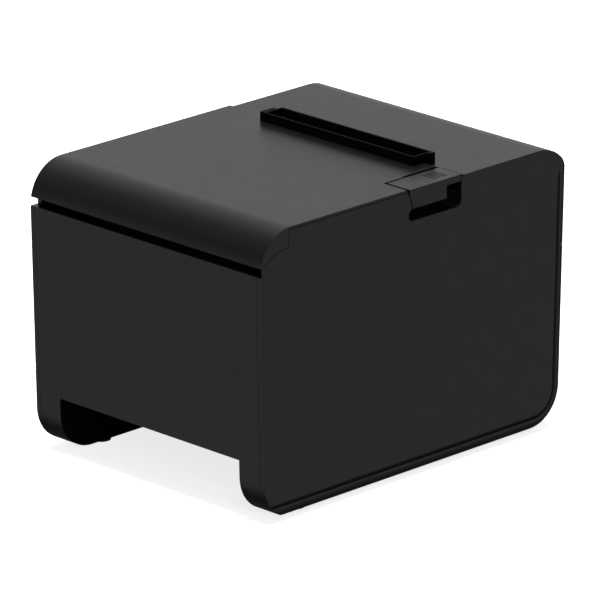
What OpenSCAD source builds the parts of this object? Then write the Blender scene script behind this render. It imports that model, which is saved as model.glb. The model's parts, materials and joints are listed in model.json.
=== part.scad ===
// Receipt printer with a clamshell lid, a drop-in paper bin and a cable bay under the rear.
// Millimetres. +Z up, operator's front towards -Y, rear towards +Y, origin on the table
// below the middle of the case. Rest pose: lid shut, lever down, blade drawn back.

/* [Case] */
// Width over the two side panels
body_w = 145; // [144:0.5:148]
// Depth front to back, measured at the height of the lid top
body_d = 196; // [194:1:204]
// Height of the lid top above the underside of the case
body_h = 133.5; // [132.5:0.5:135]
// Lean of the front and rear faces, in degrees from upright
draft = 1.38; // [1:0.02:1.6]
// Wall thickness of the mouldings
wall = 2.5; // [2.2:0.1:2.8]
// Radius of the long curve at the rear of the lid
lid_curve = 18.8; // [17:0.2:20]
// Radius of the curve at the top of the front
front_curve = 19.8; // [18:0.2:21]
// Radius of the two lower corners seen from the side
low_curve = 19; // [17:0.5:20]
// Rounding along the side edges of the front and the bottom
edge_round = 6; // [5:0.5:6]
// How far the rubber feet stand below the case
foot_h = 1.2; // [1:0.1:2]

/* [Lid and gap] */
// Height of the gap between the rear panel and the lid
gap_h = 4.05; // [3.9:0.05:4.3]
// How much lower the front cover is than the lid
lid_step = 0.8; // [0.6:0.1:1]
// Distance from the middle of the case to the lid's front edge
parting_y = 28; // [27.6:0.1:28.4]
// Full opening angle of the lid
lid_open = 72; // [40:1:72]

/* [Paper path] */
// Sideways place of the paper's middle
paper_x = -2.2; // [-2.5:0.1:-2]
// Clear width of the paper slot and the bin
paper_w = 83; // [82:0.5:83]
// Platen roller radius
platen_r = 7; // [6.8:0.1:7]
// Largest paper roll the bin takes, as a radius
roll_r = 43; // [41:0.5:43]

/* [Cable bay] */
// Clear width of the bay between the two rear legs
bay_w = 114; // [110:1:114]
// Height of the bay above the underside of the case
bay_h = 26.5; // [25:0.5:27]
// How far the bay runs in from the rear
bay_d = 54; // [52:1:55]

/* [Gears] */
// Tooth module of all the gears
tooth_module = 0.8; // [0.8]
// Teeth on the platen gear
platen_teeth = 22; // [22]
// Teeth on the idler gear
idler_teeth = 30; // [30]
// Teeth on the feed motor's pinion
pinion_teeth = 14; // [14]
// Teeth on the cutter gear
cutter_teeth = 20; // [20]
// Teeth on the cutter motor's pinion
cutter_pinion_teeth = 12; // [12]

/* [Hidden] */
$fn = 48;
half_w = body_w / 2;
case_low = foot_h;
lid_top = foot_h + body_h;
cover_top = lid_top - lid_step;
gap_low = foot_h + 114.05;
gap_top = gap_low + gap_h;
groove_low = 85.6;
groove_high = 86.6;
parting_gap = 0.4;
panel_t = 2.5;
panel_in = half_w - panel_t;
rim = 1.2;
clear = 0.3;
seam = 0.15;
band = edge_round + 0.3;
lap = 0.02;
run_on = 1.5;
bay_top = case_low + bay_h;
bay_wall_y = body_d / 2 - bay_d;
floor_t = 3;
floor_z = case_low + floor_t;

// hinge of the lid
hinge_y = 80;
hinge_z = 101;
swing_r = 24.2;

// platen, print line and blades
platen_y = -19;
platen_z = 107;
print_gap = 0.35;
head_y = platen_y - platen_r - print_gap;
blade_z = 120.6;
blade_t = 0.8;
blade_tip = -24.6;
frame_in = paper_w / 2 + 3;
frame_t = 1.5;
cheek_in = paper_w / 2;
cheek_out = paper_w / 2 + 2.5;

// paper slot surround
bezel_rim = 0.8;

// release lever and latch
lever_in = -58.6;
lever_top = lid_top - 0.3;
lever_low = lid_top - 3.5;
lever_back = 5.4;
lever_seam = 80.7;
lever_front = -26.9;
skirt_front = -18;
skirt_low = 125.3;
lever_y = -0.5;
lever_z = 131;
latch_y = 4;
latch_z = 122;
stud_y = 8.7;
stud_z = 106.5;

// gear train, all axes along X
gear_x0 = paper_x - frame_in - frame_t - 5;
gear_w = 4;
mesh_slack = 0.1;
pressure = 25;
platen_pitch = tooth_module * platen_teeth / 2;
idler_pitch = tooth_module * idler_teeth / 2;
pinion_pitch = tooth_module * pinion_teeth / 2;
cutter_pitch = tooth_module * cutter_teeth / 2;
cutter_pinion_pitch = tooth_module * cutter_pinion_teeth / 2;
lift_angle = 266.5;
motor_angle = 235;
idler_reach = platen_pitch + idler_pitch + mesh_slack;
idler_y = platen_y + idler_reach * cos(lift_angle);
idler_z = platen_z + idler_reach * sin(lift_angle);
motor_reach = idler_pitch + pinion_pitch + mesh_slack;
motor_y = idler_y + motor_reach * cos(motor_angle);
motor_z = idler_z + motor_reach * sin(motor_angle);
idler_turn = lift_angle + 180 + 180 / idler_teeth;
motor_turn = motor_angle + 180 - (idler_turn - motor_angle) * idler_teeth / pinion_teeth
    + 180 / pinion_teeth;

// cutter drive, all axes along Z
rack_x = 41;
rack_pitch = tooth_module * PI;
cutter_gear_x = rack_x + cutter_pitch + 0.05;
cutter_gear_y = -12;
cutter_motor_angle = -35;
cutter_reach = cutter_pitch + cutter_pinion_pitch + mesh_slack;
cutter_motor_x = cutter_gear_x + cutter_reach * cos(cutter_motor_angle);
cutter_motor_y = cutter_gear_y + cutter_reach * sin(cutter_motor_angle);
cutter_motor_turn = cutter_motor_angle + 180
    - (180 - cutter_motor_angle) * cutter_teeth / cutter_pinion_teeth + 180 / cutter_pinion_teeth;

// paper bin
bin_y = 38;
bin_wall = 2;
bin_out = roll_r + bin_wall;
bin_z = bay_top + wall + bin_out;
bin_top = 112;

// boards and connectors
board_z = 6;
board_t = 1.6;
board_top = board_z + board_t;
port_y = bay_wall_y + 0.4;
button_z = 100;
feed_x = 50;
power_x = 32;
button_r = 5.5;

black = [0.13, 0.13, 0.14];
soft_black = [0.07, 0.07, 0.08];
steel = [0.66, 0.67, 0.69];
alloy = [0.78, 0.79, 0.8];
white = [0.92, 0.92, 0.9];
green = [0.05, 0.3, 0.17];

// Part to draw

// ---- helpers ----

// A box between two opposite corners
module block(a, b) {
    translate(a)
        cube(b - a);
}

// A (y, z) outline carried along X
module along_x(x0, x1) {
    translate([x0, 0, 0])
        rotate([90, 0, 90])
            linear_extrude(x1 - x0)
                children();
}

// An (x, z) outline carried along Y
module along_y(y0, y1) {
    translate([0, y1, 0])
        rotate([90, 0, 0])
            linear_extrude(y1 - y0)
                children();
}

// An (x, y) outline carried along Z
module along_z(z0, z1) {
    translate([0, 0, z0])
        linear_extrude(z1 - z0)
            children();
}

module rod_x(y, z, r, x0, x1) {
    translate([x0, y, z])
        rotate([0, 90, 0])
            cylinder(h = x1 - x0, r = r);
}

module rod_y(x, z, r, y0, y1) {
    translate([x, y0, z])
        rotate([-90, 0, 0])
            cylinder(h = y1 - y0, r = r);
}

module rod_z(x, y, r, z0, z1) {
    translate([x, y, z0])
        cylinder(h = z1 - z0, r = r);
}

// The same thing on both sides of the case
module both_sides() {
    children();
    mirror([1, 0, 0])
        children();
}

// A rectangle with rounded corners, lowest corner at a
module round_rect(a, b, r) {
    translate([a[0] + r, a[1]])
        square([b[0] - a[0] - 2 * r, b[1] - a[1]]);
    translate([a[0], a[1] + r])
        square([b[0] - a[0], b[1] - a[1] - 2 * r]);
    for (x = [a[0] + r, b[0] - r], y = [a[1] + r, b[1] - r])
        translate([x, y])
            circle(r);
}

// ---- outline of the case seen from the side ----

// Half depth of the leaning front and rear faces at height z
function face_y(z) = body_d / 2 - (lid_top - z) * tan(draft);

// Centre of a corner of radius r whose face is moved in by inset
function corner_y(z, r, inset) = face_y(z) - (inset + r) / cos(draft);

// Each corner is [side, centre y, centre z, radius, up or down]
module corner_outline(corners) {
    lean = [for (c = corners) [c[0] * (c[1] + c[3] * cos(draft)), c[2] - c[3] * sin(draft)]];
    flat = [for (c = corners) [c[0] * c[1], c[2] + c[4] * c[3]]];
    polygon([flat[0], lean[0], lean[1], flat[1], flat[2], lean[2], lean[3], flat[3]]);
    for (c = corners)
        translate([c[0] * c[1], c[2]])
            circle(c[3]);
}

// Side outline: insets from the front, rear and bottom faces, and a top height
module case_outline(front = 0, rear = 0, low = 0, top = lid_top, r_front = front_curve,
                    r_rear = lid_curve, r_low = low_curve) {
    z_low = case_low + low + r_low;
    corner_outline([
        [1, corner_y(z_low, r_low, rear), z_low, r_low, -1],
        [1, corner_y(top - r_rear, r_rear, rear), top - r_rear, r_rear, 1],
        [-1, corner_y(top - r_front, r_front, front), top - r_front, r_front, 1],
        [-1, corner_y(z_low, r_low, front), z_low, r_low, -1]]);
}

// The case outline moved in by t all round
module inner_outline(t, top = lid_top) {
    case_outline(t, t, t, top - t, front_curve - t, lid_curve - t, low_curve - t);
}

module above(z) {
    translate([-body_d, z])
        square(2 * body_d);
}

module behind(y) {
    translate([y, -body_d])
        square(2 * body_d);
}

// Outline of a side panel; grow makes the slightly larger hole that it sits in
module panel_outline(grow = 0) {
    in = band - grow;
    intersection() {
        case_outline(front = in, rear = -10, low = in, top = cover_top - rim - clear + grow,
            r_front = front_curve - 5, r_rear = 5, r_low = low_curve - in);
        case_outline();
        difference() {
            above(-1);
            behind(-parting_y);
        }
    }
    intersection() {
        case_outline(front = in, rear = -10, low = in, top = gap_low + 20, r_front = 5,
            r_rear = 5, r_low = low_curve - in);
        case_outline();
        behind(-parting_y);
        difference() {
            above(-1);
            above(gap_low);
        }
    }
    intersection() {
        inner_outline(rim + clear - grow);
        behind(-parting_y);
        above(gap_low);
        union() {
            translate([-body_d, 0])
                square([body_d + hinge_y, body_d]);
            translate([hinge_y, hinge_z])
                circle(swing_r);
        }
    }
}

// What is cut off a square edge to round it, with the two faces at a and b
module edge_waste(a, b, lap) {
    r = edge_round;
    difference() {
        translate([a - r, b - 1])
            square([r + 1, r + 1]);
        translate([a - r + lap, b + r - lap])
            circle(r);
    }
}

// Rounds the side edges of the children along the bottom, round the corner and up the front
module round_edges() {
    z_low = case_low + low_curve;
    y_low = corner_y(z_low, low_curve, 0);
    difference() {
        union()
            children();
        both_sides() {
            along_y(-y_low - run_on, body_d)
                edge_waste(half_w, case_low, 2 * lap);
            translate([0, -y_low, z_low]) {
                rotate([90, 0, 90])
                    rotate([0, 0, 180 + draft])
                        rotate_extrude(angle = 90 - draft)
                            translate([low_curve - edge_round, half_w - edge_round])
                                difference() {
                                    square([edge_round + 1.5, edge_round + 1.5]);
                                    translate([lap, lap])
                                        circle(edge_round);
                                }
                rotate([draft, 0, 0])
                    translate([0, 0, -run_on])
                        linear_extrude(body_h)
                            edge_waste(half_w, -low_curve, 2 * lap);
            }
        }
    }
}

// A shell of the case outline between the side panels, with its edge bands outside them
module case_shell(t, top = lid_top, band_t = seam) {
    along_x(-panel_in + seam, panel_in - seam)
        difference() {
            intersection() {
                case_outline(top = top);
                children();
            }
            inner_outline(t, top);
        }
    both_sides()
        along_x(panel_in - seam, half_w)
            difference() {
                intersection() {
                    case_outline(top = top);
                    children();
                }
                panel_outline(band_t);
            }
}

// ---- gears ----

// Half the tooth angle at radius r, from the involute
function involute(a) = tan(a) - a * PI / 180;
function tooth_half(r, pitch, teeth, slack) =
    (90 / teeth) - slack / 2 / pitch * 180 / PI
    + (involute(pressure) - involute(acos(min(1, pitch * cos(pressure) / r)))) * 180 / PI;

module gear_outline(teeth, bore, turn = 0) {
    pitch = tooth_module * teeth / 2;
    tip = pitch + 0.9 * tooth_module;
    root = pitch - 1.15 * tooth_module;
    base = max(root + 0.05, pitch * cos(pressure));
    radii = [for (i = [0 : 4]) base + (tip - base) * i / 4];
    slack = 0.12;
    difference() {
        rotate([0, 0, turn])
            polygon([for (k = [0 : teeth - 1]) each
                let (mid = 360 * k / teeth,
                     foot = tooth_half(base, pitch, teeth, slack),
                     up = [for (r = radii) [r, mid - tooth_half(r, pitch, teeth, slack)]],
                     down = [for (i = [4 : -1 : 0]) [radii[i],
                         mid + tooth_half(radii[i], pitch, teeth, slack)]],
                     all = concat([[root, mid - foot]], up, down, [[root, mid + foot]]))
                [for (p = all) p[0] * [cos(p[1]), sin(p[1])]]]);
        circle(bore);
    }
}

// ---- case ----

module base_housing() {
    color(black)
    difference() {
        union() {
            round_edges() {
                case_shell(wall)
                    housing_region();
                intersection() {
                    along_x(-panel_in + seam, panel_in - seam)
                        case_outline();
                    block([-half_w, -body_d, case_low], [half_w, body_d, floor_z]);
                }
            }
            bay_walls();
            side_flanges();
            for (x = [-30, 30])
                bin_saddle(x);
            for (x = [-55, 61.5], y = [0, 35])
                rod_z(x, y, 2.6, floor_z, board_z);
        }
        cable_bay();
        bottom_opening();
        port_holes();
        for (p = foot_places())
            rod_z(p[0], p[1], 4.6, 0, case_low + 1);
        for (x = [-55, 61.5], y = [0, 35])
            rod_z(x, y, 1.05, floor_z - 1, board_z + 1);
    }
}

// Everything below the rear gap, and below the groove at the front
module housing_region() {
    intersection() {
        behind(-40);
        difference() {
            above(-1);
            above(gap_low);
        }
    }
    difference() {
        above(-1);
        behind(-40);
        above(groove_low);
    }
}

module cable_bay() {
    block([-bay_w / 2, bay_wall_y, -1], [bay_w / 2, body_d, bay_top]);
}

module bay_walls() {
    intersection() {
        along_x(-half_w, half_w)
            inner_outline(1);
        difference() {
            block([-bay_w / 2 - wall, bay_wall_y - wall, case_low],
                [bay_w / 2 + wall, body_d, bay_top + wall]);
            cable_bay();
        }
    }
}

// Flat rims inside the case that the side panels rest on
module side_flanges() {
    both_sides()
        along_x(panel_in - seam - 2, panel_in - seam)
            difference() {
                inner_outline(wall - 0.5);
                inner_outline(9);
                above(groove_low);
            }
}

module bin_saddle(x) {
    difference() {
        block([x - 3, 50, bay_top + wall - 0.2], [x + 3, 74, bin_z - 20]);
        rod_x(bin_y, bin_z, bin_out, x - 4, x + 4);
    }
}

module bottom_opening() {
    block([-40, -70, 0], [40, 30, floor_z - 1]);
    block([-36, -66, 0], [36, 26, floor_z + 1]);
    for (x = [-38, 38], y = [-68, 28])
        rod_z(x, y, 1.05, 0, floor_z + 1);
}

module port_holes() {
    for (p = [[-46, 11], [-27, 12.5], [-5, 17], [18, 14], [42, 32]])
        block([p[0] - p[1] / 2 - 0.3, bay_wall_y - wall - 1, board_top - 0.1],
            [p[0] + p[1] / 2 + 0.3, bay_wall_y + 1, board_top + 14]);
}

module bottom_cover() {
    color(black)
    difference() {
        block([-39.7, -69.7, case_low], [39.7, 29.7, floor_z - 1]);
        for (x = [-38, 38], y = [-68, 28]) {
            rod_z(x, y, 1.3, 0, floor_z);
        }
        for (i = [-4 : 4])
            along_z(0, floor_z)
                round_rect([-22, 6 * i - 21], [22, 6 * i - 19], 0.9);
    }
}

module bottom_screws() {
    color(steel)
    for (x = [-38, 38], y = [-68, 28]) {
        difference() {
            rod_z(x, y, 2.2, case_low - 0.9, case_low);
            block([x - 1.7, y - 0.3, 0], [x + 1.7, y + 0.3, case_low - 0.5]);
            block([x - 0.3, y - 1.7, 0], [x + 0.3, y + 1.7, case_low - 0.5]);
        }
        rod_z(x, y, 1.05, case_low, floor_z + 1.5);
    }
}

function foot_places() = [[-58, -66], [58, -66], [-61.7, 66], [61.7, 66]];

module rubber_feet() {
    color(soft_black)
    for (p = foot_places())
        rod_z(p[0], p[1], 4.5, 0, case_low + 1);
}

// Everything in front of the arc that the rear edge of the lever follows as the lid opens
module ahead_of_seam(r) {
    difference() {
        translate([-parting_y + 0.7, 100])
            square([40, 60]);
        translate([hinge_y, hinge_z])
            circle(r, $fn = 360);
    }
}

// Finger opening and the space that the release lever fills
module lever_window() {
    along_x(-half_w - 1, -panel_in + 1) {
        round_rect([-27.3, 119.7], [6.1, 125.2], 2.7);
        intersection() {
            ahead_of_seam(lever_seam - 0.6);
            translate([-27.3, 122])
                square([40, 20]);
        }
    }
}

// Walls of the finger opening behind the panel
module finger_pocket() {
    x0 = -panel_in - 0.02;
    x1 = -62.3;
    difference() {
        block([x0, -28.4, 118.5], [x1, 7.2, 125.4]);
        block([x0 - 1, -27.3, 119.7], [x1 - 0.8, 6.1, 130]);
    }
    block([x1 - 0.8, -28.4, 125.4], [x1, -5, 128.4]);
}

module left_side_panel() {
    color(black) {
        difference() {
            along_x(-half_w, -panel_in)
                panel_outline();
            lever_window();
            gap_relief(-half_w + 0.9, -panel_in + 1);
        }
        finger_pocket();
        panel_clips(-1);
    }
}

// Thins the panel inwards where it closes the end of the rear gap
module gap_relief(x0, x1) {
    block([x0, body_d / 2 - 4.9, gap_low], [x1, body_d, gap_top]);
}

module right_side_panel() {
    color(black) {
        difference() {
            along_x(panel_in, half_w)
                panel_outline();
            gap_relief(panel_in - 1, half_w + 1);
        }
        panel_clips(1);
    }
}

module panel_clips(side) {
    for (p = [[-72, 40], [-72, 66], [84, 40], [84, 66]])
        block([min(side * (panel_in - 6), side * panel_in), p[0] - 1.2, p[1]],
            [max(side * (panel_in - 6), side * panel_in), p[0] + 1.2, p[1] + 8]);
}

module front_cover() {
    color(black)
    difference() {
        union() {
            round_edges()
                case_shell(wall, cover_top, 0)
                    cover_region();
            for (x = [22, 60], z = [93, 107])
                rod_y(x, z, 2.2, -body_d / 2 + 2, -87);
        }
        for (x = [feed_x, power_x])
            rod_y(x, button_z, button_r + clear, -body_d, -80);
        translate([paper_x - paper_w / 2 - 6.5, -31.2, cover_top - 6])
            cube([paper_w + 12, 10, 12]);
    }
}

module cover_region() {
    difference() {
        above(groove_high);
        behind(-parting_y - parting_gap);
    }
}

module front_bezel() {
    x0 = paper_x - paper_w / 2;
    x1 = paper_x + paper_w / 2;
    color(soft_black)
    difference() {
        union() {
            block([-52.5, -31.2, cover_top], [43.5, -parting_y - clear, lid_top + 4.4]);
            block([x0 - 4.3, -31.2, cover_top - 4], [x1 + 3.3, -parting_y - clear, cover_top]);
        }
        block([x0, -31.2 + 1, 0], [x1, 0, lid_top + 10]);
        block([-49.7, -31.2 + 1, lid_top + 1], [43.5 - bezel_rim, 0, 150]);
    }
}

module light_guide() {
    color(white)
    along_x(-half_w + 4, half_w - 4)
        intersection() {
            difference() {
                inner_outline(3, cover_top);
                inner_outline(6.5, cover_top);
            }
            difference() {
                above(groove_low);
                above(groove_high);
                behind(0);
            }
        }
}

module button_board() {
    color(green)
        block([18, -87, 89], [64, -85.4, 111]);
    color(soft_black)
    for (x = [feed_x, power_x])
        block([x - 3, -90, button_z - 3], [x + 3, -87, button_z + 3]);
}

module push_button(x) {
    rod_y(x, button_z, button_r, -98, -93.5);
    rod_y(x, button_z, 2, -93.5, -91.6);
}

module feed_button() {
    color(soft_black)
        push_button(feed_x);
}

module power_button() {
    color(soft_black)
        push_button(power_x);
}

// ---- inside the base ----

module paper_bin() {
    color(black)
    difference() {
        along_x(paper_x - paper_w / 2, paper_x + paper_w / 2)
            bin_profile(bin_out);
        along_x(paper_x - paper_w, paper_x + paper_w)
            bin_profile(roll_r, 1);
    }
}

module bin_cheeks() {
    color(black)
    for (s = [-1, 1]) {
        along_x(min(s * paper_w / 2, s * (paper_w / 2 + bin_wall)) + paper_x,
            max(s * paper_w / 2, s * (paper_w / 2 + bin_wall)) + paper_x)
            bin_profile(bin_out);
        rod_x(2, 62, 4, paper_x + min(s * (paper_w / 2 + bin_wall), s * frame_in),
            paper_x + max(s * (paper_w / 2 + bin_wall), s * frame_in));
    }
}

module bin_profile(r, extra = 0) {
    difference() {
        translate([bin_y, bin_z])
            circle(r);
        translate([bin_y - 2 * r, bin_z + 1])
            square([4 * r, 2 * r]);
    }
    translate([bin_y - r, bin_z])
        square([2 * r, bin_top - bin_z + extra]);
}

// Steel side plate with an open notch for the platen shaft
module frame_outline() {
    difference() {
        polygon([[-46, floor_z], [-9.5, floor_z], [-9.5, 28], [13, 40], [13, 117.5],
            [-parting_y, 117.5], [-parting_y, blade_z - 1.2], [-46, blade_z - 1.2]]);
        translate([platen_y, platen_z])
            circle(4.2);
        polygon([[platen_y - 4.2, platen_z], [platen_y + 4.2, platen_z],
            [platen_y + 5, 119], [platen_y - 4.2, 119]]);
        translate([-31, 97])
            circle(1.5);
        for (z = [34, 52])
            round_rect_at(-34, z, 14, 10, 2);
    }
}

module round_rect_at(x, y, w, h, r) {
    round_rect([x - w / 2, y - h / 2], [x + w / 2, y + h / 2], r);
}

module frame_foot(x0, x1) {
    difference() {
        block([x0, -44, floor_z], [x1, -12, floor_z + frame_t]);
        for (y = [-38, -18])
            rod_z((x0 + x1) / 2, y, 1.5, 0, 10);
    }
}

module left_frame() {
    x_out = paper_x - frame_in - frame_t;
    color(steel) {
        difference() {
            along_x(x_out, x_out + frame_t)
                frame_outline();
            rod_x(motor_y, motor_z, 4.5, x_out - 1, x_out + 2);
            rod_x(idler_y, idler_z, 2, x_out - 1, x_out + 2);
            rod_x(stud_y, stud_z, 1.5, x_out - 1, x_out + 2);
        }
        frame_foot(x_out - 10, x_out);
    }
}

module right_frame() {
    x_in = paper_x + frame_in;
    color(steel) {
        difference() {
            along_x(x_in, x_in + frame_t)
                frame_outline();
            rod_x(stud_y, stud_z, 1.5, x_in - 1, x_in + 2);
        }
        frame_foot(x_in + frame_t, x_in + frame_t + 10);
    }
}

module frame_screws() {
    x_left = paper_x - frame_in - frame_t - 5;
    x_right = paper_x + frame_in + frame_t + 5;
    color(steel)
    for (x = [x_left, x_right], y = [-38, -18]) {
        rod_z(x, y, 1.45, floor_z, floor_z + frame_t);
        difference() {
            rod_z(x, y, 2.8, floor_z + frame_t, floor_z + frame_t + 1.8);
            block([x - 2, y - 0.35, floor_z + frame_t + 1.1], [x + 2, y + 0.35, 15]);
            block([x - 0.35, y - 2, floor_z + frame_t + 1.1], [x + 0.35, y + 2, 15]);
        }
    }
}

module hinge_brackets() {
    color(steel)
    both_sides()
        difference() {
            union() {
                along_x(49.5, 60)
                    intersection() {
                        inner_outline(wall);
                        behind(92);
                        above(88);
                        difference() {
                            above(0);
                            above(111);
                        }
                    }
                for (x = [49.5, 58])
                    along_x(x, x + 2) {
                        translate([hinge_y, hinge_z])
                            circle(6.5);
                        polygon([[hinge_y, hinge_z - 6.5], [92, 90], [92, 110],
                            [hinge_y, hinge_z + 6.5]]);
                    }
            }
            rod_x(hinge_y, hinge_z, 2.5, 40, 70);
        }
}

module hinge_pins() {
    color(steel)
    both_sides() {
        rod_x(hinge_y, hinge_z, 2.5, 49, 60.5);
        rod_x(hinge_y, hinge_z, 3.6, 60.5, 61.8);
    }
}

module latch_studs() {
    x_left = paper_x - frame_in - frame_t;
    x_right = paper_x + frame_in + frame_t;
    color(steel) {
        rod_x(stud_y, stud_z, 2.5, x_left - 5.3, x_left);
        rod_x(stud_y, stud_z, 1.5, x_left, x_left + frame_t);
        rod_x(stud_y, stud_z, 2.5, x_right, x_right + 5.3);
        rod_x(stud_y, stud_z, 1.5, x_right - frame_t, x_right);
    }
}

module feed_motor() {
    x_face = paper_x - frame_in;
    color(steel)
    difference() {
        union() {
            rod_x(motor_y, motor_z, 17.5, x_face, x_face + 21);
            rod_x(motor_y, motor_z, 4.4, x_face - frame_t, x_face);
            rod_x(motor_y, motor_z, 5, x_face + 21, x_face + 22.5);
        }
        rod_x(motor_y, motor_z, 1.55, x_face - 5, x_face + 19);
        for (x = [4, 16])
            difference() {
                rod_x(motor_y, motor_z, 19, x_face + x, x_face + x + 0.6);
                rod_x(motor_y, motor_z, 17, x_face + x - 1, x_face + x + 2);
            }
    }
}

module motor_pinion() {
    color(alloy) {
        along_x(gear_x0, gear_x0 + gear_w)
            translate([motor_y, motor_z])
                gear_outline(pinion_teeth, 1.5, motor_turn);
        rod_x(motor_y, motor_z, 1.5, gear_x0 - 0.5, paper_x - frame_in + 18);
    }
}

module idler_stud() {
    x_out = paper_x - frame_in - frame_t;
    color(steel) {
        rod_x(idler_y, idler_z, 2, gear_x0 - 0.4, x_out + frame_t);
        rod_x(idler_y, idler_z, 3.4, gear_x0 - 1.6, gear_x0 - 0.4);
    }
}

module idler_gear() {
    color(white)
    difference() {
        union() {
            along_x(gear_x0, gear_x0 + gear_w)
                translate([idler_y, idler_z])
                    gear_outline(idler_teeth, 2.05, idler_turn);
            difference() {
                rod_x(idler_y, idler_z, 4.2, gear_x0, gear_x0 + gear_w + 0.7);
                rod_x(idler_y, idler_z, 2.05, gear_x0 - 1, gear_x0 + gear_w + 2);
            }
        }
        for (a = [0 : 60 : 300])
            rod_x(idler_y + 7.4 * cos(a), idler_z + 7.4 * sin(a), 1.7, gear_x0 - 1,
                gear_x0 + gear_w + 1);
    }
}

module arc_band(r0, r1, a0, a1) {
    difference() {
        intersection() {
            circle(r1);
            polygon([[0, 0], 3 * r1 * [cos(a0), sin(a0)],
                3 * r1 * [cos((a0 + a1) / 2), sin((a0 + a1) / 2)],
                3 * r1 * [cos(a1), sin(a1)]]);
        }
        circle(r0);
    }
}

module paper_guide() {
    color(soft_black) {
        difference() {
            along_x(paper_x - 40, paper_x + 40)
                translate([platen_y, platen_z])
                    arc_band(8.4, 9.9, 235, 310);
            block([paper_x - 24, -30, 90], [paper_x - 16, -10, 100]);
        }
        for (s = [-1, 1])
            block([min(paper_x + s * 40, paper_x + s * frame_in), -22, 97.2],
                [max(paper_x + s * 40, paper_x + s * frame_in), -16, 98.2]);
    }
}

module paper_sensor() {
    color(soft_black)
        block([paper_x - 23.6, -21.6, 93.6], [paper_x - 16.4, -16.4, 98]);
}

module roll_sensor() {
    x_out = paper_x + paper_w / 2 + bin_wall;
    color(soft_black) {
        block([x_out, 30, 38], [x_out + 5, 42, 50]);
        block([x_out, 33, 50], [x_out + 3, 39, 53]);
    }
}

module head_bracket() {
    color(steel)
    difference() {
        block([paper_x - frame_in, -41, 94], [paper_x + frame_in, -39.5, 117]);
        for (x = [-12, 12])
            rod_y(paper_x + x, 106, 4, -45, -30);
    }
}

module head_springs() {
    color(steel)
    for (s = [-1, 1])
        translate([paper_x + 25 * s, -39.5, 106])
            rotate([-90, 0, 0])
                linear_extrude(6.5, twist = -360 * 5, slices = 100, $fn = 8)
                    translate([2.6, 0])
                        circle(0.4, $fn = 8);
}

module head_rod() {
    color(steel)
        rod_x(-31, 97, 1.5, paper_x - frame_in - frame_t, paper_x + frame_in + frame_t);
}

module head_heatsink() {
    color(alloy)
    difference() {
        block([paper_x - 40, -33, 93.5], [paper_x + 40, head_y - 1, 114]);
        rod_x(-31, 97, 1.55, -60, 60);
        for (z = [101 : 3 : 111])
            block([paper_x - 41, -34, z], [paper_x - 32, -31, z + 1.2]);
    }
}

module head_ceramic() {
    color(white)
        block([paper_x - 40, head_y - 1, 99.5], [paper_x + 40, head_y, 113]);
    color(soft_black)
        block([paper_x - 30, head_y - 1, 94.5], [paper_x + 30, head_y + 0.1, 98.2]);
}

module fixed_blade() {
    color(steel)
    difference() {
        block([paper_x - 44, -45, blade_z - 1.2], [paper_x + 44, -27.6, blade_z - clear]);
        for (x = [-38, 38])
            rod_z(paper_x + x, -41, 1.6, 100, 130);
        along_x(-60, 60)
            polygon([[-27.5, blade_z - 1.3], [-27.5, blade_z - 0.7], [-29.1, blade_z - 1.3]]);
    }
}

module main_board() {
    color(green)
    difference() {
        block([-58, -6, board_z], [64.5, bay_wall_y - wall - 0.2, board_top]);
        for (x = [-55, 61.5], y = [0, 35])
            rod_z(x, y, 1.3, 0, 10);
    }
}

module board_chips() {
    color(soft_black) {
        block([-10, 4, board_top], [4, 18, board_top + 1.4]);
        block([12, 6, board_top], [22, 14, board_top + 1.4]);
        block([-34, 6, board_top], [-26, 16, board_top + 1.8]);
        block([-24, -5, board_top], [24, 0, board_top + 5]);
    }
    color(steel) {
        for (x = [-42, -50])
            rod_z(x, 12, 3.2, board_top, board_top + 10);
        rod_z(32, 10, 4, board_top, board_top + 11);
    }
}

module board_screws() {
    color(steel)
    for (x = [-55, 61.5], y = [0, 35]) {
        rod_z(x, y, 1, floor_z, board_top);
        difference() {
            rod_z(x, y, 2.2, board_top, board_top + 1.5);
            block([x - 1.6, y - 0.3, board_top + 0.9], [x + 1.6, y + 0.3, 15]);
            block([x - 0.3, y - 1.6, board_top + 0.9], [x + 0.3, y + 1.6, 15]);
        }
    }
}

// Round three-pin power socket
module power_inlet() {
    x = -46;
    z = board_top + 6;
    color(soft_black)
    difference() {
        block([x - 5.5, 30, board_top], [x + 5.5, port_y, board_top + 12]);
        rod_y(x, z, 4.7, 35, 60);
    }
    color(steel)
    for (a = [90, 210, 330])
        rod_y(x + 2.6 * cos(a), z + 2.6 * sin(a), 0.55, 34.9, 43);
}

module usb_port() {
    x = -27;
    z = board_top + 5.6;
    color(steel)
    difference() {
        block([x - 6, 28, board_top], [x + 6, port_y, board_top + 11]);
        along_y(32, 60)
            translate([x, z])
                polygon([[-4.3, -3.9], [4.3, -3.9], [4.3, 2.2], [2.8, 3.9], [-2.8, 3.9],
                    [-4.3, 2.2]]);
    }
    color(soft_black)
        block([x - 2.8, 31.9, z - 1.6], [x + 2.8, 43, z + 1.4]);
}

module lan_port() {
    x = -5;
    color(steel)
    difference() {
        block([x - 8, 27, board_top], [x + 8, port_y, board_top + 13.4]);
        block([x - 5.9, 32, board_top + 2.4], [x + 5.9, 60, board_top + 9]);
        block([x - 3, 32, board_top + 1], [x + 3, 60, board_top + 2.5]);
    }
}

module drawer_port() {
    x = 18;
    color(soft_black)
    difference() {
        block([x - 6.6, 28, board_top], [x + 6.6, port_y, board_top + 12.6]);
        block([x - 4.9, 33, board_top + 2.6], [x + 4.9, 60, board_top + 9.4]);
        block([x - 2, 33, board_top + 1.2], [x + 2, 60, board_top + 2.7]);
    }
}

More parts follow.
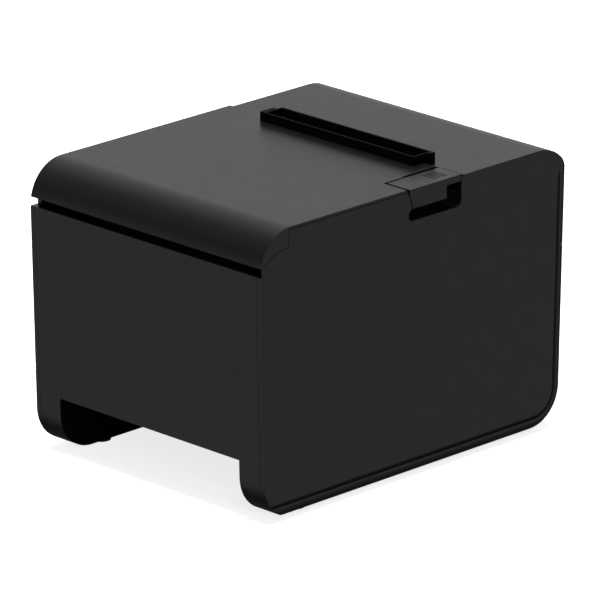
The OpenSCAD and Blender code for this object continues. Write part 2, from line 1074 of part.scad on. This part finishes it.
// D-shaped nine-pin serial plug with its two jack nuts
module serial_port() {
    x = 42;
    z = board_top + 6.4;
    shell = [[-8.4, 4.1], [8.4, 4.1], [7, -4.1], [-7, -4.1]];
    color(steel) {
        block([x - 15.4, 40, board_top], [x + 15.4, 42.4, board_top + 12.6]);
        along_y(42.4, port_y + 4)
            translate([x, z])
                difference() {
                    polygon(shell);
                    polygon(0.92 * shell);
                }
        for (s = [-1, 1])
            translate([x + 12.5 * s, 42.4, z])
                rotate([-90, 0, 0])
                    cylinder(h = 5, r = 2.4, $fn = 6);
        for (i = [-2 : 2])
            rod_y(x + 2.77 * i, z + 1.4, 0.5, 42.4, 47);
        for (i = [-1.5 : 1.5])
            rod_y(x + 2.77 * i, z - 1.4, 0.5, 42.4, 47);
    }
    color(soft_black)
        block([x - 14, 32, board_top], [x + 14, 40, board_top + 11]);
}

// ---- lid ----

module lid_cover() {
    color(black)
    difference() {
        union() {
            lid_skin();
            both_sides()
                along_x(panel_in - clear, half_w)
                    difference() {
                        lid_side();
                        difference() {
                            inner_outline(rim);
                            swing_corner();
                        }
                    }
            for (x = [-48, 48], y = [12, 50])
                rod_z(x, y, 3, 128.5, lid_top - 1);
        }
        lever_hole();
        translate([paper_x - paper_w / 2 - 4, -40, lid_top - 6])
            cube([paper_w + 8, 20.5, 10]);
        for (x = [-48, 48], y = [12, 50])
            rod_z(x, y, 1.05, 120, lid_top - 2);
    }
}

// The part of the lid's side that runs round the swing, behind the hinge
module swing_corner() {
    difference() {
        behind(hinge_y + clear);
        translate([hinge_y, hinge_z])
            circle(swing_r + clear);
    }
}

module lid_skin() {
    along_x(-panel_in + clear, panel_in - clear)
        difference() {
            lid_side();
            inner_outline(wall);
        }
}

// Side outline of the lid, with its front top edge rounded
module lid_side() {
    y0 = -parting_y + 0.1;
    r = 1.6;
    difference() {
        intersection() {
            case_outline();
            behind(y0);
            above(gap_top);
        }
        difference() {
            translate([y0 - 1, lid_top - r])
                square([r + 1, r + 1]);
            translate([y0 + r, lid_top - r])
                circle(r);
        }
    }
}

// Room for the lever in the lid, wider along the front part of its inner edge
module lever_hole() {
    block([-half_w - 1, -40, lid_top - 8], [lever_in + 0.35, 4.6, lid_top + 1]);
    along_x(-half_w - 1, lever_in + 0.35)
        intersection() {
            ahead_of_seam(lever_seam - 0.7);
            translate([0, lid_top - 8])
                square([20, 9]);
        }
    along_z(lid_top - 8, lid_top + 1)
        round_rect([lever_in - 2, -40], [lever_in + 1.2, -4.7], 0.59);
}

module lid_bezel() {
    x0 = paper_x - paper_w / 2;
    x1 = paper_x + paper_w / 2;
    y0 = -parting_y + 0.1;
    y1 = -19.5;
    color(soft_black)
    difference() {
        union() {
            block([-50.5, y0, lid_top], [46, y1, lid_top + 4.4]);
            block([x0 - 4, y0, lid_top - 4.5], [x1 + 4, y1, lid_top]);
        }
        block([x0, -40, 100], [x1, y1 - 1.6, 150]);
        block([-50.5 + bezel_rim, -40, lid_top + 1], [42.7, y1 - bezel_rim, 150]);
        along_x(x0, x1)
            polygon([[y1 - 1.7, lid_top - 2], [y1 - 1.7, lid_top + 1.1],
                [y1 - bezel_rim, lid_top + 1.1]]);
    }
}

module lid_frame() {
    plate_low = 126;
    plate_top = 128.5;
    color(black)
    difference() {
        union() {
            block([-57, 8, plate_low], [57, 58, plate_top]);
            block([-51, -22, plate_low], [66, 8, plate_top]);
            block([-68, -3.6, plate_low], [-50, 14, plate_top]);
            block([-51, -22, blade_z - clear], [-48.5, -1.2, plate_low]);
            block([-51, -3.4, blade_z - clear], [36, -1.2, plate_low]);
            block([65.4, -26, blade_z - clear], [67.4, -1.2, plate_low]);
            block([64, -22, plate_low], [67.4, 8, plate_top]);
            both_sides()
                hinge_arm();
            for (x = [-66.2, -62.7])
                lever_ear(x - 1.8, x);
            for (x = [-54.8, -47, 40, 49.2])
                shaft_lug(x);
        }
        both_sides()
            rod_x(hinge_y, hinge_z, 2.55, 40, 70);
        rod_x(lever_y, lever_z, 0.8, -70, -60);
        rod_x(latch_y, latch_z, 2.05, -70, 60);
        for (x = [-48, 48], y = [12, 50])
            rod_z(x, y, 1.3, 120, 140);
        block([-44, 20, 120], [44, 46, 140]);
        block([-34, -16, 124.5], [30, -6, 140]);
    }
}

module hinge_arm() {
    along_x(52.5, 57) {
        translate([hinge_y, hinge_z])
            circle(6.5);
        polygon([[hinge_y, hinge_z + 6.5], [62, 117.5], [56, 128.5], [40, 128.5],
            [54, 110.5], [hinge_y - 2, hinge_z - 6.2]]);
    }
}

module lever_ear(x0, x1) {
    along_x(x0, x1) {
        translate([lever_y, lever_z])
            circle(1.6);
        translate([lever_y - 1.6, 127])
            square([3.2, lever_z - 127]);
    }
}

module shaft_lug(x) {
    along_x(x, x + 2) {
        translate([latch_y, latch_z])
            circle(3.6);
        translate([latch_y - 3.6, latch_z])
            square([7.2, 5]);
    }
}

module lid_screws() {
    color(steel)
    for (x = [-48, 48], y = [12, 50]) {
        rod_z(x, y, 1, 126, lid_top - 2.5);
        difference() {
            rod_z(x, y, 2.4, 124.4, 126);
            block([x - 1.7, y - 0.3, 124], [x + 1.7, y + 0.3, 125]);
            block([x - 0.3, y - 1.7, 124], [x + 0.3, y + 1.7, 125]);
        }
    }
}

module platen_roller() {
    color(soft_black)
    difference() {
        rod_x(platen_y, platen_z, platen_r, paper_x - 40.5, paper_x + 40.5);
        rod_x(platen_y, platen_z, 3.5, -60, 60);
    }
}

module platen_shaft() {
    color(steel) {
        rod_x(platen_y, platen_z, 3.5, paper_x - 40.5, paper_x + 40.5);
        rod_x(platen_y, platen_z, 3, gear_x0 - 0.8, paper_x - 40.5);
        rod_x(platen_y, platen_z, 3, paper_x + 40.5, paper_x + frame_in + 2.5);
    }
}

module platen_gear() {
    color(white) {
        along_x(gear_x0, gear_x0 + gear_w)
            translate([platen_y, platen_z])
                gear_outline(platen_teeth, 3, lift_angle);
    }
}

module platen_bushes() {
    color(alloy)
    for (s = [-1, 1])
        difference() {
            union() {
                rod_x(platen_y, platen_z, 4.5, min(paper_x + s * cheek_in, paper_x + s * cheek_out),
                    max(paper_x + s * cheek_in, paper_x + s * cheek_out));
                rod_x(platen_y, platen_z, 5.4,
                    min(paper_x + s * (cheek_in - 0.7), paper_x + s * cheek_in),
                    max(paper_x + s * (cheek_in - 0.7), paper_x + s * cheek_in));
            }
            rod_x(platen_y, platen_z, 3.05, -60, 60);
        }
}

// Plate that carries the blade above and the platen below
module cutter_frame() {
    low = blade_z - 1.3;
    top = blade_z - clear;
    color(steel)
    difference() {
        union() {
            block([-51, -23.9, low], [67.4, -1.2, top]);
            block([51, -27.5, low], [67.4, -23.9, top]);
            for (s = [-1, 1])
                along_x(min(paper_x + s * cheek_in, paper_x + s * cheek_out),
                    max(paper_x + s * cheek_in, paper_x + s * cheek_out))
                    cheek_outline();
            block([-47.2, -22, top], [-44.6, -5, top + 2.6]);
            rod_z(cutter_gear_x, cutter_gear_y, 1.5, top, 124);
        }
        rod_x(platen_y, platen_z, 4.5, -60, 60);
        rod_z(cutter_motor_x, cutter_motor_y, 2.6, 110, 130);
    }
}

module cheek_outline() {
    translate([platen_y, platen_z])
        circle(6.5);
    translate([platen_y - 5.4, platen_z])
        square([11.9, blade_z - 1.2 - platen_z]);
}

// Moving blade: a shallow V along its front edge and a rack on one side
module cutter_blade() {
    x0 = paper_x - 42;
    color(steel) {
        difference() {
            along_z(blade_z, blade_z + blade_t)
                polygon([[x0, -4], [x0, blade_tip], [x0 + 4, blade_tip], [paper_x, -22.6],
                    [paper_x + 34, blade_tip], [rack_x - 2, blade_tip], [rack_x - 2, -4]]);
            for (x = [-25, 25])
                along_z(110, 130)
                    round_rect_at(paper_x + x, -12, 12, 5, 2.4);
        }
        along_z(blade_z, 123)
            rack_outline();
    }
}

module rack_outline() {
    y0 = cutter_gear_y;
    tip = 0.8 * tooth_module;
    root = 1.05 * tooth_module;
    half = rack_pitch / 4 - 0.06;
    lean = tan(pressure);
    for (k = [-3 : 3])
        translate([rack_x, y0 + rack_pitch * (k + 0.5)])
            polygon([[-root - 0.1, -half - root * lean], [-root, -half - root * lean],
                [tip, -half + tip * lean], [tip, half - tip * lean],
                [-root, half + root * lean], [-root - 0.1, half + root * lean]]);
    translate([rack_x - 4, y0 - 8.8])
        square([4 - root, 17.6]);
}

module cutter_gear() {
    color(white)
        along_z(blade_z + 0.2, 123.2)
            translate([cutter_gear_x, cutter_gear_y])
                gear_outline(cutter_teeth, 1.55, 180);
}

module cutter_motor() {
    color(steel)
    difference() {
        union() {
            rod_z(cutter_motor_x, cutter_motor_y, 7.7, 98, blade_z - 1.3);
            rod_z(cutter_motor_x, cutter_motor_y, 2.5, blade_z - 1.3, blade_z - 0.6);
            rod_z(cutter_motor_x, cutter_motor_y, 3, 97, 98);
        }
        rod_z(cutter_motor_x, cutter_motor_y, 1.05, 102, 130);
    }
}

module cutter_pinion() {
    color(alloy) {
        along_z(blade_z + 0.2, 123.2)
            translate([cutter_motor_x, cutter_motor_y])
                gear_outline(cutter_pinion_teeth, 1, cutter_motor_turn);
        rod_z(cutter_motor_x, cutter_motor_y, 1, 103, 123.6);
    }
}

module latch_shaft() {
    color(steel)
        rod_x(latch_y, latch_z, 2, -59.2, 51.8);
}

module latch_hooks() {
    color(steel) {
        for (x = [-52.7, 45.3])
            difference() {
                along_x(x, x + 3)
                    hook_outline();
                rod_x(latch_y, latch_z, 2, -60, 60);
            }
        difference() {
            along_x(-59, -56) {
                translate([latch_y, latch_z])
                    circle(3.8);
                polygon([[latch_y, latch_z - 0.9], [-17, latch_z - 0.9],
                    [-17, latch_z + 0.8], [latch_y, latch_z + 3]]);
            }
            rod_x(latch_y, latch_z, 2, -60, 60);
        }
    }
}

module hook_outline() {
    translate([latch_y, latch_z])
        circle(3.8);
    polygon([[0.4, latch_z], [0.4, 101.6], [1.6, 100.4], [3.6, 100.4], [5.3, 102.4],
        [5.3, 103.6], [4.2, 103.6], [4.2, latch_z]]);
}

module latch_spring() {
    color(steel)
        translate([-51, latch_y, latch_z])
            rotate([0, 90, 0])
                translate([0, 0, 6.2])
                    linear_extrude(16, twist = -360 * 9, slices = 160, $fn = 8)
                        translate([2.9, 0])
                            circle(0.4, $fn = 8);
}

// Finger lever: a top plate, a skirt flush with the side panel and a peg for the latch
module release_lever() {
    color(black)
    difference() {
        union() {
            lever_plate(-half_w, lever_in, lever_front, lever_low);
            lever_plate(-half_w, -panel_in - 0.3, skirt_front, skirt_low);
            rod_x(lever_y, lever_z, 2, -half_w + 1, lever_in);
            block([-62, -11.5, 118.2], [-60, -7.5, lever_low + 1]);
            rod_x(-9.5, 119.6, 1.2, -60, -55.6);
        }
        rod_x(lever_y, lever_z, 0.85, -70, -50);
        for (x = [-66.2, -62.7])
            along_x(x - 2.1, x + 0.3)
                ear_pocket();
        lever_grooves();
    }
}

module lever_plate(x0, x1, y0, z0) {
    along_x(x0, x1)
        intersection() {
            ahead_of_seam(lever_seam);
            translate([y0, z0])
                square([lever_back - y0, lever_top - z0]);
        }
}

module ear_pocket() {
    translate([lever_y, lever_z])
        circle(1.95);
    translate([lever_y - 1.95, 120])
        square([3.9, lever_z - 120]);
    polygon([[lever_y, lever_z], [lever_y - 4.5, 120], [lever_y + 1.95, 120]]);
}

// Finger grip lines across the top of the lever
module lever_grooves() {
    for (y = [-21.5 : 1.8 : -14])
        block([-69.5, y, lever_top - 0.3], [-61.5, y + 0.7, lever_top + 1]);
}

module lever_pin() {
    color(steel)
        rod_x(lever_y, lever_z, 0.8, -68.4, -60.4);
}

base_housing();
bottom_cover();
left_side_panel();
right_side_panel();
front_cover();
front_bezel();
light_guide();
button_board();
feed_button();
power_button();
paper_bin();
bin_cheeks();
left_frame();
right_frame();
hinge_brackets();
hinge_pins();
latch_studs();
feed_motor();
motor_pinion();
idler_stud();
idler_gear();
paper_guide();
paper_sensor();
roll_sensor();
head_bracket();
head_springs();
head_rod();
head_heatsink();
head_ceramic();
fixed_blade();
main_board();
board_chips();
power_inlet();
usb_port();
lan_port();
drawer_port();
serial_port();
rubber_feet();
bottom_screws();
board_screws();
frame_screws();
lid_cover();
lid_bezel();
lid_frame();
lid_screws();
platen_roller();
platen_shaft();
platen_gear();
platen_bushes();
cutter_frame();
cutter_blade();
cutter_gear();
cutter_motor();
cutter_pinion();
latch_shaft();
latch_hooks();
latch_spring();
release_lever();
lever_pin();
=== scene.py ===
import json
import math

import bmesh
import bpy
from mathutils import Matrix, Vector


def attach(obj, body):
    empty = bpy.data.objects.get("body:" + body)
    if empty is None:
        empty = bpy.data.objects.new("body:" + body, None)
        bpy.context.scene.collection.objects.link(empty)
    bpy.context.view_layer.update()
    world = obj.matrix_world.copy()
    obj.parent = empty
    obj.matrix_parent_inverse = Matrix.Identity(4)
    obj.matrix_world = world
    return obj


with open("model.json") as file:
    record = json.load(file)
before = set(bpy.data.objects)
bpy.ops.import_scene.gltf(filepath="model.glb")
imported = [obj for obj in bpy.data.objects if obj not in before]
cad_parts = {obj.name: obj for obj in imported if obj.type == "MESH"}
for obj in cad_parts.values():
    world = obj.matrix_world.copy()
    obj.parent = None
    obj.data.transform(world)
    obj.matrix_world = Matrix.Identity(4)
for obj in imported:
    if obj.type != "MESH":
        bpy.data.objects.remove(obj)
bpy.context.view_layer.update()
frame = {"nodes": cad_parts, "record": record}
NODES = frame["nodes"]
MM = 0.001

# outline of the side panels, as in the CAD source, in millimetres and degrees
DRAFT = 1.38
BODY_D = 196.0
LID_TOP = 134.7
CASE_LOW = 1.2
LOW_CURVE = 19.0
EDGE_BAND = 6.3
# how far the rolled edge of a side panel reaches in, how deep it goes, and where it fades out
ROLL_W = 2.2
ROLL_DEPTH = 1.0
ROLL_FADE = (118.0, 128.0)


def add_object(name, data):
    obj = bpy.data.objects.new(name, data)
    bpy.context.scene.collection.objects.link(obj)
    return obj


# ---- materials ----


def shader(name, colour, roughness, metallic=0.0, specular=0.5):
    """A material with its shader's constants set on the shader itself."""
    mat = bpy.data.materials.new(name)
    mat.use_nodes = True
    tree = mat.node_tree
    bsdf = tree.nodes["Principled BSDF"]
    bsdf.inputs["Base Color"].default_value = (*colour, 1)
    bsdf.inputs["Roughness"].default_value = roughness
    bsdf.inputs["Metallic"].default_value = metallic
    bsdf.inputs["Specular IOR Level"].default_value = specular
    return mat, tree, bsdf


def noise(tree, scale, detail=2.0, stretch=(1, 1, 1)):
    """Noise in object space, so that its size is real; scale is per metre."""
    coord = tree.nodes.new("ShaderNodeTexCoord")
    mapping = tree.nodes.new("ShaderNodeMapping")
    mapping.inputs["Scale"].default_value = stretch
    tex = tree.nodes.new("ShaderNodeTexNoise")
    tex.inputs["Scale"].default_value = scale
    tex.inputs["Detail"].default_value = detail
    tree.links.new(coord.outputs["Object"], mapping.inputs["Vector"])
    tree.links.new(mapping.outputs["Vector"], tex.inputs["Vector"])
    return tex.outputs["Fac"]


def ramp(tree, value, low, high, out_low, out_high):
    """Maps a value from one range to another, clamped."""
    node = tree.nodes.new("ShaderNodeMapRange")
    node.inputs["From Min"].default_value = low
    node.inputs["From Max"].default_value = high
    node.inputs["To Min"].default_value = out_low
    node.inputs["To Max"].default_value = out_high
    tree.links.new(value, node.inputs["Value"])
    return node.outputs["Result"]


def mix_colour(tree, factor, first, second):
    node = tree.nodes.new("ShaderNodeMix")
    node.data_type = "RGBA"
    node.inputs["A"].default_value = (*first, 1)
    node.inputs["B"].default_value = (*second, 1)
    tree.links.new(factor, node.inputs["Factor"])
    return node.outputs["Result"]


def bump(tree, height, strength, distance, before=None):
    node = tree.nodes.new("ShaderNodeBump")
    node.inputs["Strength"].default_value = strength
    node.inputs["Distance"].default_value = distance
    tree.links.new(height, node.inputs["Height"])
    if before is not None:
        tree.links.new(before, node.inputs["Normal"])
    return node.outputs["Normal"]


def math_node(tree, operation, *values):
    """One step of arithmetic; each value is a socket or a number."""
    node = tree.nodes.new("ShaderNodeMath")
    node.operation = operation
    for socket, value in zip(node.inputs, values):
        if isinstance(value, (int, float)):
            socket.default_value = value
        else:
            tree.links.new(value, socket)
    return node.outputs["Value"]


def rolled_edge(tree):
    """Height of a side panel whose lower and front edges roll in towards the edge band."""
    coord = tree.nodes.new("ShaderNodeTexCoord")
    axes = tree.nodes.new("ShaderNodeSeparateXYZ")
    tree.links.new(coord.outputs["Object"], axes.inputs["Vector"])
    slope = math.tan(math.radians(DRAFT))
    face_at_floor = (BODY_D / 2 - LID_TOP * slope) * MM
    face = math_node(tree, "MULTIPLY_ADD", axes.outputs["Z"], slope, face_at_floor)
    behind_face = math_node(tree, "ADD", face, axes.outputs["Y"])
    forward = math_node(tree, "SUBTRACT", LOW_CURVE * MM, behind_face)
    down = math_node(tree, "SUBTRACT", (LOW_CURVE + CASE_LOW) * MM, axes.outputs["Z"])
    forward = math_node(tree, "MAXIMUM", forward, 0.0)
    down = math_node(tree, "MAXIMUM", down, 0.0)
    squares = math_node(tree, "MULTIPLY", forward, forward)
    squares = math_node(tree, "ADD", squares, math_node(tree, "MULTIPLY", down, down))
    reach = math_node(tree, "SQRT", squares)
    edge = (LOW_CURVE - EDGE_BAND) * MM
    near = ramp(tree, reach, edge - ROLL_W * MM, edge, 0.0, 1.0)
    fade_low, fade_high = (z * MM for z in ROLL_FADE)
    fade = ramp(tree, axes.outputs["Z"], fade_low, fade_high, 1.0, 0.0)
    near = math_node(tree, "MULTIPLY", near, fade)
    return math_node(tree, "SUBTRACT", 1.0, math_node(tree, "MULTIPLY", near, near))


def plastic(
    name,
    colour,
    roughness,
    grain=2600.0,
    grain_depth=0.00003,
    specular=0.5,
    spread=0.12,
    roll=False,
):
    """Moulded plastic: a fine spark-eroded grain, faint waves of gloss and slight shade drift."""
    mat, tree, bsdf = shader(name, colour, roughness, specular=specular)
    fine = noise(tree, grain, 3.0)
    wave = noise(tree, 24.0, 2.0)
    dark = tuple(c * (1 - spread) for c in colour)
    light = tuple(c * (1 + spread) for c in colour)
    drift = ramp(tree, wave, 0.3, 0.7, 0.0, 1.0)
    tree.links.new(mix_colour(tree, drift, dark, light), bsdf.inputs["Base Color"])
    gloss = noise(tree, 160.0, 4.0)
    tree.links.new(
        ramp(tree, gloss, 0.3, 0.7, roughness - 0.02, roughness + 0.02), bsdf.inputs["Roughness"]
    )
    body = bump(tree, rolled_edge(tree), 1.0, ROLL_DEPTH * MM) if roll else None
    coarse = bump(tree, noise(tree, grain / 3, 2.0), 0.35, grain_depth, body)
    tree.links.new(bump(tree, fine, 0.5, grain_depth, coarse), bsdf.inputs["Normal"])
    return mat


def metal(name, colour, roughness, stretch=(1, 1, 30), scratch=0.00001):
    """Rolled or turned metal, with a directional grain in its gloss."""
    mat, tree, bsdf = shader(name, colour, roughness, metallic=1.0)
    grain = noise(tree, 420.0, 4.0, stretch)
    tree.links.new(
        ramp(tree, grain, 0.25, 0.75, roughness - 0.1, roughness + 0.12), bsdf.inputs["Roughness"]
    )
    cloud = noise(tree, 60.0, 3.0)
    dull = tuple(c * 0.82 for c in colour)
    tree.links.new(
        mix_colour(tree, ramp(tree, cloud, 0.3, 0.7, 0, 1), dull, colour), bsdf.inputs["Base Color"]
    )
    tree.links.new(bump(tree, grain, 0.3, scratch), bsdf.inputs["Normal"])
    return mat


CASE_COLOUR = (0.0062, 0.0062, 0.0064)
CASE = plastic("case_black", CASE_COLOUR, 0.33, spread=0.08)
SIDE = plastic("side_black", CASE_COLOUR, 0.33, spread=0.08, roll=True)
TRIM = plastic("trim_black", (0.003, 0.003, 0.0032), 0.5, 3600.0, 0.00001, specular=0.03)
INNER = plastic("inner_black", (0.006, 0.006, 0.0065), 0.6, grain=1500.0)
GEAR = plastic("gear_plastic", (0.72, 0.7, 0.64), 0.38, grain=900.0, spread=0.05)
GUIDE = plastic("clear_guide", (0.03, 0.035, 0.04), 0.2, grain=500.0, spread=0.05)
RUBBER = plastic("rubber", (0.012, 0.012, 0.013), 0.78, grain=1800.0, grain_depth=0.00008)
CHIP = plastic("chip_resin", (0.01, 0.01, 0.011), 0.45, grain=2200.0)
CERAMIC = plastic("ceramic", (0.72, 0.7, 0.65), 0.22, grain=700.0, spread=0.04)
STEEL = metal("sheet_steel", (0.5, 0.51, 0.53), 0.34)
TURNED = metal("turned_steel", (0.6, 0.61, 0.63), 0.24, (30, 1, 1))
SPRING = metal("spring_steel", (0.42, 0.43, 0.45), 0.22, (1, 1, 1))
ALLOY = metal("alloy", (0.68, 0.69, 0.7), 0.36, (1, 20, 1))
BRONZE = metal("bronze", (0.52, 0.33, 0.14), 0.42, (1, 1, 1))


def board_material():
    """Green solder mask over faint copper tracks."""
    mat, tree, bsdf = shader("board", (0.006, 0.06, 0.03), 0.34)
    coord = tree.nodes.new("ShaderNodeTexCoord")
    bricks = tree.nodes.new("ShaderNodeTexBrick")
    bricks.inputs["Scale"].default_value = 190.0
    bricks.inputs["Mortar Size"].default_value = 0.06
    bricks.inputs["Color1"].default_value = (0, 0, 0, 1)
    bricks.inputs["Color2"].default_value = (0.2, 0.2, 0.2, 1)
    bricks.inputs["Mortar"].default_value = (1, 1, 1, 1)
    tree.links.new(coord.outputs["Object"], bricks.inputs["Vector"])
    colour = mix_colour(tree, bricks.outputs["Color"], (0.005, 0.05, 0.024), (0.02, 0.12, 0.05))
    tree.links.new(colour, bsdf.inputs["Base Color"])
    tree.links.new(bump(tree, bricks.outputs["Color"], 0.4, 0.00002), bsdf.inputs["Normal"])
    return mat


BOARD = board_material()

BY_SLOT = {
    "case_black": CASE,
    "trim_black": TRIM,
    "clear_guide": GUIDE,
    "gear_plastic": GEAR,
    "steel": STEEL,
    "spring_steel": SPRING,
    "alloy": ALLOY,
    "bronze": BRONZE,
    "ceramic": CERAMIC,
    "rubber": RUBBER,
    "board": BOARD,
    "chips": CHIP,
}
BY_NODE = {
    "left_side_panel": SIDE,
    "right_side_panel": SIDE,
    "paper_bin": INNER,
    "bin_cheeks": INNER,
    "lid_frame": INNER,
    "platen_shaft": TURNED,
    "latch_shaft": TURNED,
    "hinge_pins": TURNED,
    "head_rod": TURNED,
}


SLOTS = {s["node"]: s["material_slot"] for s in frame["record"]["subparts"]}


def dress(name, obj):
    mat = BY_NODE.get(name) or BY_SLOT[SLOTS[name]]
    if not obj.material_slots:
        obj.data.materials.append(mat)
    for s in obj.material_slots:
        s.material = mat


for node_name, node_object in NODES.items():
    dress(node_name, node_object)


# ---- edges: a small bevel on the moulded pieces, in millimetres ----


def soft_edge(obj, width):
    modifier = obj.modifiers.new("soft_edge", "BEVEL")
    modifier.width = width * MM
    modifier.segments = 2
    return modifier


SHARP = math.radians(40)
BEVELLED = {
    "base_housing": 0.15,
    "left_side_panel": 0.12,
    "right_side_panel": 0.12,
    "front_cover": 0.3,
    "lid_cover": 0.12,
    "front_bezel": 0.25,
    "lid_bezel": 0.25,
    "release_lever": 0.12,
    "paper_bin": 0.4,
    "lid_frame": 0.3,
    "bottom_cover": 0.3,
}
for node_name, width in BEVELLED.items():
    modifier = soft_edge(NODES[node_name], width)
    modifier.limit_method = "ANGLE"
    modifier.angle_limit = SHARP
    modifier.harden_normals = False
    modifier.use_clamp_overlap = True


# ---- spring contacts in the two sockets of the cable bay ----

GOLD = metal("gold_plate", (0.83, 0.6, 0.24), 0.25, (1, 20, 1))


def contact_wires(name, x_mid, pitch, count, path, width):
    """A row of square sprung wires; path is (y, z) from the back of the socket outwards, in mm."""
    corners = [(-width / 2, 0), (width / 2, 0), (width / 2, width), (-width / 2, width)]
    mesh = bpy.data.meshes.new(name)
    b = bmesh.new()
    for i in range(count):
        x = x_mid + (i - (count - 1) / 2) * pitch
        rings = []
        for y, z in path:
            ring = [((x + dx) * MM, y * MM, (z + dz) * MM) for dx, dz in corners]
            rings.append([b.verts.new(place) for place in ring])
        for first, second in zip(rings, rings[1:]):
            for k in range(4):
                b.faces.new((first[k], first[(k + 1) % 4], second[(k + 1) % 4], second[k]))
        b.faces.new(rings[0][::-1])
        b.faces.new(rings[-1])
    bmesh.ops.recalc_face_normals(b, faces=b.faces)
    b.to_mesh(mesh)
    b.free()
    obj = add_object(name, mesh)
    mesh.materials.append(GOLD)
    soft_edge(obj, WIRE_ROUND)
    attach(obj, "base")


WIRE_W = 0.35
WIRE_ROUND = 0.06
WIRE_PATH = ((33.2, 15.4), (36.0, 15.3), (40.5, 13.2), (43.5, 12.2), (44.3, 12.6))
DRAWER_PATH = [(y + 0.8, z + 0.2) for y, z in WIRE_PATH]
contact_wires("network_contacts", -5.0, 1.02, 8, WIRE_PATH, WIRE_W)
contact_wires("drawer_contacts", 18.0, 1.27, 6, DRAWER_PATH, WIRE_W)


# ---- stage, light and camera ----


FLOOR_HALF = 6.0
FLOOR_GLOW = 0.8
# the card's half width, half depth and height above the floor, in metres
SHADE = (0.056, 0.084, 0.0002)


def floor():
    mesh = bpy.data.meshes.new("floor")
    b = bmesh.new()
    bmesh.ops.create_grid(b, x_segments=2, y_segments=2, size=FLOOR_HALF)
    b.to_mesh(mesh)
    b.free()
    obj = add_object("floor", mesh)
    mat, _, bsdf = shader("floor_white", (0.93, 0.93, 0.93), 0.9, specular=0.1)
    bsdf.inputs["Emission Color"].default_value = (1, 1, 1, 1)
    bsdf.inputs["Emission Strength"].default_value = FLOOR_GLOW
    mesh.materials.append(mat)
    # neither reflections nor bounced light see the floor, so the sides stay as dark as they are
    obj.visible_glossy = False
    obj.visible_diffuse = False


def area_light(name, place, target, size, power):
    data = bpy.data.lights.new(name, "AREA")
    data.energy = power
    data.size = size
    obj = add_object(name, data)
    obj.location = place
    obj.rotation_euler = (Vector(target) - Vector(place)).to_track_quat("-Z", "Y").to_euler()


def under_shade():
    """A black card under the printer, unseen by the camera: painted shade standing in for the
    shadowed floor beneath the printer, which keeps the cable bay dark.
    """
    mesh = bpy.data.meshes.new("under_shade")
    x, y, z = SHADE
    mesh.from_pydata([(-x, -y, z), (x, -y, z), (x, y, z), (-x, y, z)], [], [(0, 1, 2, 3)])
    obj = add_object("under_shade", mesh)
    mat, _, _ = shader("shade_black", (0.004, 0.004, 0.004), 1.0, specular=0.0)
    mesh.materials.append(mat)
    obj.visible_camera = False
    obj.visible_shadow = False


def overhead(strength, spread):
    """Soft light straight down; spread is in degrees."""
    data = bpy.data.lights.new("overhead", "SUN")
    data.energy = strength
    data.angle = math.radians(spread)
    add_object("overhead", data)


def glow(tree, towards, narrow, amount):
    """A soft patch of light round one direction of the studio."""
    coord = tree.nodes.new("ShaderNodeTexCoord")
    dot = tree.nodes.new("ShaderNodeVectorMath")
    dot.operation = "DOT_PRODUCT"
    dot.inputs[1].default_value = Vector(towards).normalized()
    tree.links.new(coord.outputs["Generated"], dot.inputs[0])
    patch = ramp(tree, dot.outputs["Value"], narrow, 1.0, 0.0, 1.0)
    return math_node(tree, "MULTIPLY", patch, amount)


def world_light(base, patches):
    """An even dim studio with soft patches: (direction, cosine at the patch's rim, amount)."""
    world = bpy.data.worlds.new("studio")
    world.use_nodes = True
    tree = world.node_tree
    total = base
    for towards, narrow, amount in patches:
        total = math_node(tree, "ADD", glow(tree, towards, narrow, amount), total)
    tree.links.new(total, tree.nodes["Background"].inputs["Strength"])
    tree.nodes["Background"].inputs["Color"].default_value = (1, 1, 1, 1)
    bpy.context.scene.world = world


bpy.context.scene.view_settings.view_transform = "Standard"
floor()
under_shade()
overhead(strength=3.0, spread=30)
area_light("fill", place=(-0.75, 0.75, 0.62), target=(0, 0, 0.09), size=0.5, power=2.0)
STUDIO_BASE = 0.05
STUDIO_PATCHES = (
    ((0.67, -0.67, 0.28), 0.6, 0.6),
    ((-0.67, -0.67, -0.3), 0.86, 0.42),
    ((0.67, 0.67, -0.3), 0.86, 0.44),
    ((0.67, 0.35, 0.6), 0.6, 0.1),
)
world_light(STUDIO_BASE, STUDIO_PATCHES)

TARGET = Vector((-0.00129, 0.00225, 0.0658))
AZIMUTH = math.radians(225.03)
ELEVATION = math.radians(18.69)
DISTANCE = 3.167
camera_data = bpy.data.cameras.new("camera")
camera_data.lens = 424.3
camera_data.sensor_width = 36.0
camera_data.clip_end = 50.0
camera = add_object("camera", camera_data)
to_camera = Vector(
    (
        math.sin(AZIMUTH) * math.cos(ELEVATION),
        -math.cos(AZIMUTH) * math.cos(ELEVATION),
        math.sin(ELEVATION),
    )
)
camera.location = TARGET + to_camera * DISTANCE
camera.rotation_euler = (-to_camera).to_track_quat("-Z", "Y").to_euler()
bpy.context.scene.camera = camera
